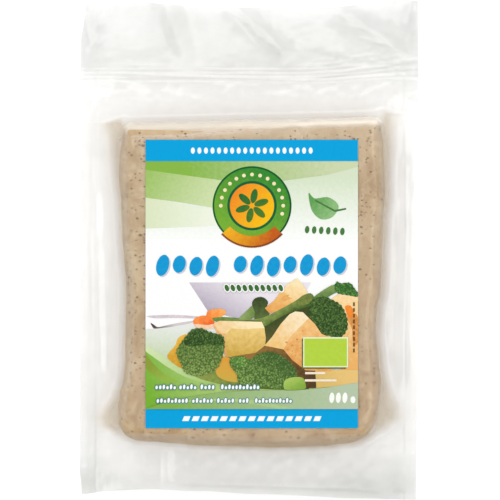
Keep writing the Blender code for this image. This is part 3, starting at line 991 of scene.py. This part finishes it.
# The picture on the label, from back to front: name, kind of outline, places, two tones, options
PICTURE = (
    ("bowl_far", "flat", ((-24.9, 0.6), (23.6, 0.6), (18.4, -8.9), (12.7, -13.5), (-3.4, -14.3), (-12.6,
     -12), (-17.4, -10.9)), (238, 232, 238), (182, 172, 188), dict(mottle=0.1, lean=((-8.0, 1.5), (-14.9,
     -11.7)))),
    ("plate_line", "soft", ((-41.3, -12.7), (-30.9, -12.3), (-20.6, -13), (-20.6, -13.7), (-30.9, -13.5),
     (-38.4, -13.6)), (206, 192, 198), (228, 218, 222), {}),
    ("plate_mark", "soft", ((-40.2, -15.5), (-39, -16.1), (-37.4, -17.1), (-34.9, -16.7), (-29.8, -15.6),
     (-22.9, -14.6), (-22.9, -15.2), (-29.8, -16.6), (-34.9, -17.6), (-37.4, -18.2), (-39.2, -17.4)), (96,
     74, 78), (214, 204, 206), dict(mottle=0.1, lean=((-38.4, -17.2), (-30.4, -16.3)))),
    ("bowl_inside", "flat", ((-42.4, -17.9), (-37.2, -17.7), (-29.8, -16.8), (-22.9, -15.3), (-14.9, -16.3),
     (18.4, -17.5), (18.4, -41.3), (-8, -41.1), (-17.7, -39.6), (-25.8, -37.1), (-32.1, -33.8), (-37.8,
     -29.9), (-41.3, -27.2), (-42.4, -26.7)), (232, 236, 228), (186, 208, 150), dict(mottle=0.15,
     lean=((-29.8, -17.5), (-31.5, -34.1)))),
    ("bowl_body", "flat", ((-42.4, -25.8), (-37.2, -29.4), (-27.5, -35.4), (-10.3, -39.9), (42.2, -39.3),
     (42.2, -49.7), (-42.4, -49.7)), (176, 206, 122), (120, 178, 52), dict(mottle=0.15, lean=((-14.9,
     -38.1), (-40.1, -46.2)))),
    ("bowl_shadow", "soft", ((-42.4, -27.8), (-39.5, -31.2), (-34.9, -35.6), (-29.2, -38.7), (-34.4, -39),
     (-39, -36.4), (-42.4, -32.7)), (138, 158, 56), (148, 184, 74), dict(mottle=0.3, lean=((-39.0, -31.8),
     (-34.4, -38.1)))),
    ("bowl_rim", "soft", ((-42.4, -24.4), (-40.7, -25.1), (-36.7, -27.9), (-30.9, -31.8), (-25.2, -35),
     (-17.7, -37.7), (-8, -39.9), (-8, -41.1), (-17.2, -39.6), (-25.8, -37.1), (-32.6, -33.5), (-38.4,
     -29.5), (-42.4, -26.4)), (212, 230, 176), (160, 196, 108), dict(mottle=0.15, lean=((-41.3, -25.5),
     (-12.6, -39.9)))),
    ("salad_shade", "flat", ((-30.4, -31.2), (-25.8, -29), (-9.1, -29), (18.4, -31.2), (23, -42.2), (7,
     -41.9), (-4.5, -41.1), (-13.7, -39.6), (-20, -37.9), (-25.8, -35.4)), (150, 164, 80), (88, 112, 46),
     dict(mottle=0.5, grain=500, lean=((-24.0, -31.2), (7.0, -39.9)))),
    ("carrot_left", "soft", ((-30.4, -24.4), (-29.2, -21.5), (-25.8, -20.1), (-24, -24.4), (-25.8, -31.2),
     (-28.1, -33.3), (-31.2, -31.5), (-33.5, -29.3), (-32.9, -27.3)), (238, 186, 72), (206, 152, 44),
     dict(mottle=0.6, lean=((-29.8, -20.9), (-30.4, -33.5)))),
    ("carrot_low", "soft", ((-12.8, -29), (-8, -30), (-5.1, -34.7), (-3.4, -38.7), (-9.1, -38.7), (-13.4,
     -36.7), (-14.3, -33.5)), (226, 160, 62), (206, 172, 72), dict(mottle=0.5, lean=((-10.3, -29.0), (-9.1,
     -38.7)))),
    ("carrot_back", "flat", ((-23.4, -14.6), (-22.2, -13.2), (-19.4, -12.5), (-16.8, -12.8), (-15.1, -13.9),
     (-14.7, -15.5), (-17.2, -16.8), (-19.4, -16.3), (-21.7, -16.6), (-23.1, -15.9)), (252, 150, 76), (244,
     104, 42), dict(mottle=0.9, grain=500, lean=((-20.6, -12.6), (-17.7, -16.7)))),
    ("carrot_front", "flat", ((-18.2, -13), (-17.7, -10.9), (-15.5, -10), (-12.6, -9.8), (-10.4, -10.4),
     (-10.3, -12.1), (-11.9, -12.8), (-12.6, -14), (-15.4, -14.6), (-16.9, -13.8)), (255, 178, 98), (248,
     132, 52), dict(mottle=0.8, grain=500, lean=((-12.6, -10.0), (-16.6, -14.3)))),
    ("peel_shade", "soft", ((-22.6, -15.9), (-17.7, -16.3), (-14.9, -15.9), (-15.1, -17.6), (-18.9, -17.9),
     (-22, -17.2)), (248, 196, 150), (250, 220, 190), {}),
    ("greens_thin", "soft", ((-15.4, -13.5), (-11.4, -13.1), (-4.5, -13.7), (-3.4, -14.7), (-12.6, -15),
     (-15.1, -14.6)), (96, 128, 60), (128, 152, 82), {}),
    ("stem_pale", "soft", ((-5.1, -13.8), (-2.2, -10.8), (0.6, -8.3), (2.9, -8.9), (1.2, -12.9), (-2.2,
     -14.6)), (150, 172, 104), (104, 132, 66), dict(mottle=0.3, lean=((-4.5, -11.7), (1.2, -13.5)))),
    ("greens_dark", "soft", ((0.1, -8), (1.2, -5.8), (4.1, -5.2), (6.4, -7), (5.8, -10), (7.2, -11.7), (4.7,
     -13.5), (1.2, -14), (1.2, -11.2)), (58, 74, 38), (92, 110, 60), dict(mottle=0.6, lean=((3.5, -6.0),
     (4.1, -13.5)))),
    ("cube_far_side", "flat", ((5.2, -9.6), (8.7, -6.7), (11.8, -2.7), (14, -3.7), (16.1, -8.3), (10.4,
     -10.7), (7.1, -11.7)), (244, 196, 120), (232, 160, 84), dict(mottle=0.5, lean=((11.5, -3.1), (7.0,
     -11.7)))),
    ("cube_far", "flat", ((11.8, -2.7), (14.1, -0.1), (17.9, 2.3), (20, 0.2), (22.2, -3.1), (21.1, -6),
     (16.1, -8.5), (14, -4)), (254, 236, 190), (246, 200, 128), dict(mottle=0.4, lean=((19.0, 2.0), (15.6,
     -8.3)))),
    ("cube_far_toast", "flat", ((11.4, -6.3), (12.9, -4.6), (15, -4.2), (14.4, -5), (16.1, -5.8), (14.1,
     -6.2), (12.9, -6.9)), (224, 156, 80), (240, 184, 112), {}),
    ("gap_green", "flat", ((-4.5, -14.7), (-1.1, -14.4), (4.1, -14.6), (11.5, -11.7), (19.6, -8.9), (24.2,
     -7.5), (28.2, -11.7), (31.1, -21.5), (24.7, -21.5), (22.6, -14), (18.4, -11.7), (13.8, -15.2), (8.7,
     -21.5), (5.2, -25.5), (4.4, -17.5)), (60, 76, 36), (92, 92, 50), dict(mottle=0.5, lean=((5.8, -15.2),
     (8.1, -22.1)))),
    ("asparagus", "soft", ((-4.5, -14.4), (1.2, -14), (5.8, -12.8), (11.5, -9.9), (17.3, -6.7), (20.2,
     -4.6), (23.2, -3.7), (24.7, -5.2), (24.2, -8.1), (20.7, -9.6), (15, -11.5), (9.8, -14.1), (5.8, -16.6),
     (4.4, -16.3), (3.5, -14.7)), (142, 160, 84), (74, 98, 42), dict(mottle=0.5, lean=((10.4, -8.9), (13.3,
     -13.5)), grain=420)),
    ("asparagus_tip", "soft", ((17.9, -7.3), (20.2, -4.9), (23, -3.9), (24.2, -5.4), (23, -7.5), (19.6,
     -8.6)), (96, 112, 52), (134, 146, 74), dict(mottle=0.5, grain=900)),
    ("cube_right", "flat", ((32, -5.5), (34.5, -4), (42.2, -5.2), (42.2, -39.3), (35.6, -39.3), (35.6,
     -21.5), (29.9, -21.5), (31.6, -11.7)), (252, 222, 166), (238, 180, 104), dict(mottle=0.5, lean=((37.9,
     -4.3), (39.7, -30.1)))),
    ("cube_right_shade", "soft", ((37.7, -13.5), (40.2, -11.7), (42.2, -13.5), (42.2, -23.2), (40.2, -23.2),
     (39.7, -17.5)), (206, 132, 62), (232, 166, 92), dict(mottle=0.5)),
    ("carrot_right", "soft", ((37.1, -8.9), (39.1, -8.6), (40.4, -10.6), (40.2, -12.8), (38.5, -13.2),
     (37.7, -11.7)), (250, 152, 58), (240, 130, 48), {}),
    ("greens_stem", "soft", ((24.2, -5.8), (28.8, -2.2), (32.8, -0.3), (34.5, -2.6), (31.6, -4.4), (27.6,
     -6.6)), (140, 164, 98), (88, 124, 62), dict(mottle=0.4, lean=((29.3, -0.8), (29.9, -5.4)))),
    ("greens_top", "florets", ((32.9, -1.4), (34, 0.8), (35.5, 0.1), (38.9, 0.2), (40.8, -2), (42.1, -3.7),
     (41.7, -5), (37.9, -4.2), (34.3, -3.6)), (100, 152, 74), (56, 106, 44), dict(florets=((132, 178, 96),
     (38, 84, 34), 1400), bumps=(1.6, 0.35))),
    ("broccoli_right", "florets", ((23.1, -8.1), (25, -6), (28.8, -5.4), (32.2, -6.7), (35, -8.4), (36.8,
     -11.3), (37.7, -14.3), (37.7, -17.6), (36.2, -20.2), (33.7, -21), (30.5, -20.3), (28.1, -19.1), (25.9,
     -16.3), (23.7, -13.5), (22.8, -10.6)), (94, 126, 62), (58, 90, 40), dict(florets=((126, 154, 88), (38,
     62, 28), 1400), bumps=(1.9, 0.5))),
    ("cube_left_side", "flat", ((-15.4, -16.2), (-14.6, -15.2), (-10.3, -15.5), (-9.6, -16.8), (-8, -29),
     (-10.7, -28.7), (-11.2, -23.2), (-13.7, -19.8)), (248, 198, 146), (222, 160, 92), dict(mottle=0.9,
     grain=500, lean=((-13.7, -15.2), (-9.1, -26.7)))),
    ("cube_left_front", "flat", ((-10.3, -17), (5, -17.2), (5.6, -21.5), (5.2, -25.5), (1.6, -27.5), (-8,
     -29), (-9.6, -28.7), (-10.8, -23.2)), (242, 208, 130), (204, 166, 70), dict(mottle=0.5, lean=((-2.2,
     -16.9), (-3.4, -29.0)))),
    ("cube_left_top", "flat", ((-15.1, -15.5), (-12.6, -14.6), (4, -15), (5.1, -17.5), (-4.5, -18), (-8,
     -17.6), (-10.3, -19.8), (-12.6, -19.5)), (254, 236, 190), (244, 206, 146), dict(mottle=0.7, grain=500,
     lean=((-1.1, -14.6), (-13.7, -19.2)))),
    ("shadow_gap", "flat", ((-8, -28.8), (1.6, -27.3), (5.3, -24.4), (10.4, -24.4), (16.1, -28.2), (21.9,
     -32.4), (26.5, -34.1), (25.4, -41.3), (20.7, -41.3), (7, -34.7), (-4.5, -31.2)), (150, 112, 58), (84,
     62, 36), dict(mottle=0.5, lean=((-1.1, -28.4), (23.0, -38.1)))),
    ("cube_low", "flat", ((25.2, -34.1), (42.2, -34.1), (42.2, -39.4), (35.6, -40.4), (25.7, -41.4)), (234,
     196, 122), (216, 186, 104), dict(mottle=0.5, lean=((35.6, -34.1), (26.5, -41.0)))),
    ("cube_middle_side", "flat", ((17.3, -18.6), (22.6, -13.5), (25.1, -15.9), (27.7, -19.8), (30.6, -21),
     (31.6, -34.7), (21.4, -34.3), (16.1, -30.2), (12.5, -25.9), (14.4, -22.1)), (248, 200, 132), (228, 160,
     84), dict(mottle=0.8, grain=450, lean=((23.0, -14.0), (20.2, -34.1)))),
    ("cube_middle", "flat", ((5, -24.5), (8.1, -21), (11.5, -15.9), (15, -12), (17.3, -10.9), (20.3, -11.2),
     (22.7, -13.6), (18.4, -17.7), (15, -21.5), (12.6, -26), (9.2, -25.3)), (253, 234, 196), (243, 198,
     122), dict(mottle=0.6, grain=450, lean=((18.4, -11.7), (8.1, -24.9)))),
    ("broccoli_left", "florets", ((-29.7, -26.8), (-28.1, -23.9), (-25.6, -20.5), (-23.4, -18.3), (-20,
     -17.9), (-17.7, -18.9), (-14.9, -19.9), (-12, -20.5), (-11, -23.2), (-11.4, -26.7), (-12.4, -30.1),
     (-13.7, -32.9), (-17.2, -35.2), (-21.7, -36.2), (-26.2, -35), (-27.5, -32.4), (-29.1, -29.2)), (136,
     162, 84), (88, 116, 54), dict(florets=((166, 186, 118), (62, 90, 40), 1300), bumps=(1.9, 0.5),
     lean=((-21.7, -35.8), (-19.4, -18.0)))),
    ("broccoli_left_top", "florets", ((-26.8, -23.2), (-25.2, -20.3), (-23.1, -18.6), (-20, -18.3), (-17.2,
     -19.3), (-12.6, -20.7), (-11.2, -23.2), (-13.7, -24.4), (-17.7, -23.7), (-21.7, -24.4), (-25.2,
     -24.4)), (88, 118, 56), (54, 84, 40), dict(florets=((130, 160, 88), (36, 62, 28), 1400), bumps=(1.8,
     0.4))),
    ("broccoli_middle", "florets", ((-8.7, -30.9), (-7.4, -29.2), (-3.4, -28.8), (-0.7, -30.1), (2.4, -28),
     (7, -27.1), (11.5, -28.5), (15, -31.2), (17.7, -34.7), (17.3, -37.1), (15, -38.4), (13.7, -40.4),
     (10.4, -41.5), (4.1, -40.5), (-4.5, -39.4), (-5.7, -36), (-7.9, -33.1)), (130, 162, 82), (82, 114, 54),
     dict(florets=((164, 190, 116), (58, 88, 42), 1300), bumps=(1.8, 0.4), lean=((-1.1, -39.3), (7.0,
     -27.8)))),
    ("broccoli_bud", "florets", ((-8, -30.9), (-6.8, -29.4), (-3.4, -29.1), (-1.7, -30.4), (-2.8, -32.4),
     (-5.7, -32.6)), (132, 172, 84), (90, 136, 60), dict(florets=((190, 212, 140), (64, 108, 48), 1300),
     bumps=(1.6, 0.3))),
    ("broccoli_stalk", "soft", ((12.7, -40.8), (13.1, -38.4), (16.1, -37.1), (20.2, -37.3), (21.4, -39.9),
     (20.7, -41.8), (13.8, -42)), (168, 198, 96), (132, 170, 64), dict(mottle=0.3, lean=((16.1, -37.6),
     (18.4, -41.6)))),
    ("panel_shade", "box", ((19.9, -21.7), (37.4, -33.7)), (92, 94, 46), (118, 116, 62), {}),
    ("panel_edge", "box", ((20.4, -21.1), (38.3, -33.1)), (226, 240, 190), (236, 246, 206), {}),
    ("panel", "box", ((20.9, -21.7), (37.8, -32.6)), (184, 214, 72), (178, 211, 64), {}),
    ("sage_sweep", "flat", ((-42.4, -49.7), (-37.2, -47.9), (-27.5, -45.3), (-12.6, -43.1), (1.2, -42.3),
     (17.3, -42.3), (29.9, -41.1), (42.2, -39.1), (42.2, -49.7)), (132, 176, 78), (184, 200, 170),
     dict(mottle=0.15, lean=((-32.1, -47.9), (37.9, -43.9)))),
    ("sage_line", "flat", ((-31.5, -47.3), (-20.6, -45.6), (-4.5, -45.6), (7, -47.3), (17.3, -49.7), (10.4,
     -49.7), (2.4, -47.9), (-8, -46.5), (-20.6, -46.4)), (168, 198, 128), (176, 204, 146), {}),
)
TOAST_SPOTS = ((13.8, -23.2, 0.52, 0.34), (16.2, -24.4, 0.57, 0.46), (18, -22, 0.46, 0.34), (20.7,
    -29.1, 0.69, 0.52), (17.3, -28.4, 0.4, 0.34), (23, -30.6, 0.46, 0.34), (19.6, -25.5, 0.34, 0.29), (14.4,
    -26, 0.52, 0.34), (21.6, -24.4, 0.29, 0.29), (24.2, -26.7, 0.34, 0.29), (20.2, -18.6, 0.34, 0.29),
    (16.1, -26.7, 0.29, 0.23))


def print_picture():
    """A plain picture of a bowl of vegetables and cubes, in simple shapes."""
    for place, (name, kind, outline, first, second, options) in enumerate(PICTURE):
        choices = {key: value for key, value in options.items() if key != "bumps"}
        if kind == "box":
            (left, low), (right, high) = outline
            line = box_corners(left, high, right, low)
        elif kind == "flat":
            line = outline
        else:
            line = rounded(outline, 6)
        if kind == "florets":
            line = scalloped(line, *options["bumps"])
        ink_shapes(name, [line], 2 + 0.6 * place, ink_material("ink_" + name, first, second, **choices))
        if name == "cube_middle":
            toast = ink_material("ink_toast", (206, 136, 66), (226, 168, 98))
            ink_shapes("toast_spots", [oval(*spot, 10, 14) for spot in TOAST_SPOTS], 2.3 + 0.6 * place, toast)


def scalloped(line, width, depth):
    """A closed line with a row of small round bumps along it."""
    middle = (sum(u for u, v in line) / len(line), sum(v for u, v in line) / len(line))
    out = []
    gone = 0.0
    for (u0, v0), (u1, v1) in zip(line, line[1:] + line[:1]):
        length = math.hypot(u1 - u0, v1 - v0)
        steps = max(int(length / (width / 5)), 1)
        for step in range(steps):
            share = step / steps
            u, v = u0 + (u1 - u0) * share, v0 + (v1 - v0) * share
            push = depth * abs(math.sin(math.pi * (gone + length * share) / width))
            reach = math.hypot(u - middle[0], v - middle[1])
            out.append((u + (u - middle[0]) / reach * push, v + (v - middle[1]) / reach * push))
        gone += length
    return out


def bead_row(words, level, grow):
    """A row of small upright beads, standing in groups: middle and length of each group."""
    beads = []
    for u, length in words:
        count = max(int(round(length / 1.42)), 1)
        for i in range(count):
            tall = 0.86 + 0.22 * math.sin(2.7 * i + u)
            beads.append(oval(u - length / 2 + (i + 0.5) * length / count, level - 0.9 * (1 - tall),
                              0.5 + grow, 0.95 * tall + grow, -6, 14))
    return beads


def print_lines():
    white = ink_material("ink_line_white", (252, 253, 253))
    edge = ink_material("ink_line_edge", (72, 132, 132))
    first = [(-34.2, 8.6), (-25.4, 7.2), (-17.6, 6.0), (-4.6, 15.6)]
    second = [(-31.6, 12.8), (-19.6, 8.6), (-10.4, 7.2), (-3.2, 4.2), (8.6, 15.0)]
    small = ink_material("ink_small_lines", (240, 226, 204))
    ink_shapes("small_lines", [bar(25.2, -35.4, 8.0, 0.9), bar(27.4, -38.3, 12.6, 0.9)], 30, small)
    ink_shapes("weight_ovals", [oval(u, -45.2, 1.0, 2.1, -4, 24) for u in (31.8, 34.4, 37.0)]
               + [oval(40.2, -46.0, 1.0, 1.4, 0, 20)], 30, ink_material("ink_weight", (250, 250, 240)))
    side = ink_material("ink_side_marks", (92, 62, 40))
    ink_shapes("side_marks", [bar(40.6, -8.0 - 2.3 * i, 0.6, 1.5) for i in range(9)], 30, side)
    for name, ink, grow, layer in (("line_edge", edge, 0.32, 30), ("line_white", white, 0.0, 31)):
        ink_shapes(name, bead_row(first, -40.9, grow) + bead_row(second, -46.3, grow), layer, ink)


# ---------------------------------------------------------------- studio

def studio():
    deselect_all()
    bpy.ops.mesh.primitive_plane_add(size=6.0, location=(0, 0, BACK - 0.3 * MM))
    floor = bpy.context.active_object
    floor.name = "studio_floor"
    floor.data.materials.append(floor_material())
    world = bpy.data.worlds.new("studio_air")
    world.use_nodes = True
    world.node_tree.nodes["Background"].inputs["Color"].default_value = (1, 1, 1, 1)
    world.node_tree.nodes["Background"].inputs["Strength"].default_value = 1.06
    bpy.context.scene.world = world
    lights = (("key", (-0.35, 1.05, 1.45), 1.5, 10.0), ("fill", (0.7, -0.3, 1.7), 1.2, 6.0))
    for name, place, size, energy in lights:
        lamp = bpy.data.lights.new(name, "AREA")
        lamp.shape = "SQUARE"
        lamp.size = size
        lamp.energy = energy
        holder = bpy.data.objects.new(name, lamp)
        holder.location = place
        holder.rotation_euler = (-Vector(place)).to_track_quat("-Z", "Y").to_euler()
        bpy.context.collection.objects.link(holder)
    camera = bpy.data.cameras.new("camera")
    camera.sensor_width = 36.0
    camera.lens = 36.0 * 2.0 / 0.2
    camera.clip_end = 20
    holder = bpy.data.objects.new("camera", camera)
    holder.location = (0.0002, 0.0, 2.0 + POUCH_LOW[2] + 8 * MM)
    bpy.context.collection.objects.link(holder)
    bpy.context.scene.camera = holder
    bpy.context.scene.view_settings.view_transform = "Standard"


def main():
    slab = tofu_slab()
    slab.data.materials.append(tofu_material())
    pouch = pouch_film()
    pouch.data.materials.append(film_material())
    for piece in (slab, pouch):
        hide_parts("pouch")
        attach(piece, "root")
    label_sheet(paper_material())
    print_bands()
    print_upper_field()
    print_roundel()
    print_ornaments()
    print_picture()
    print_lines()
    studio()


main()
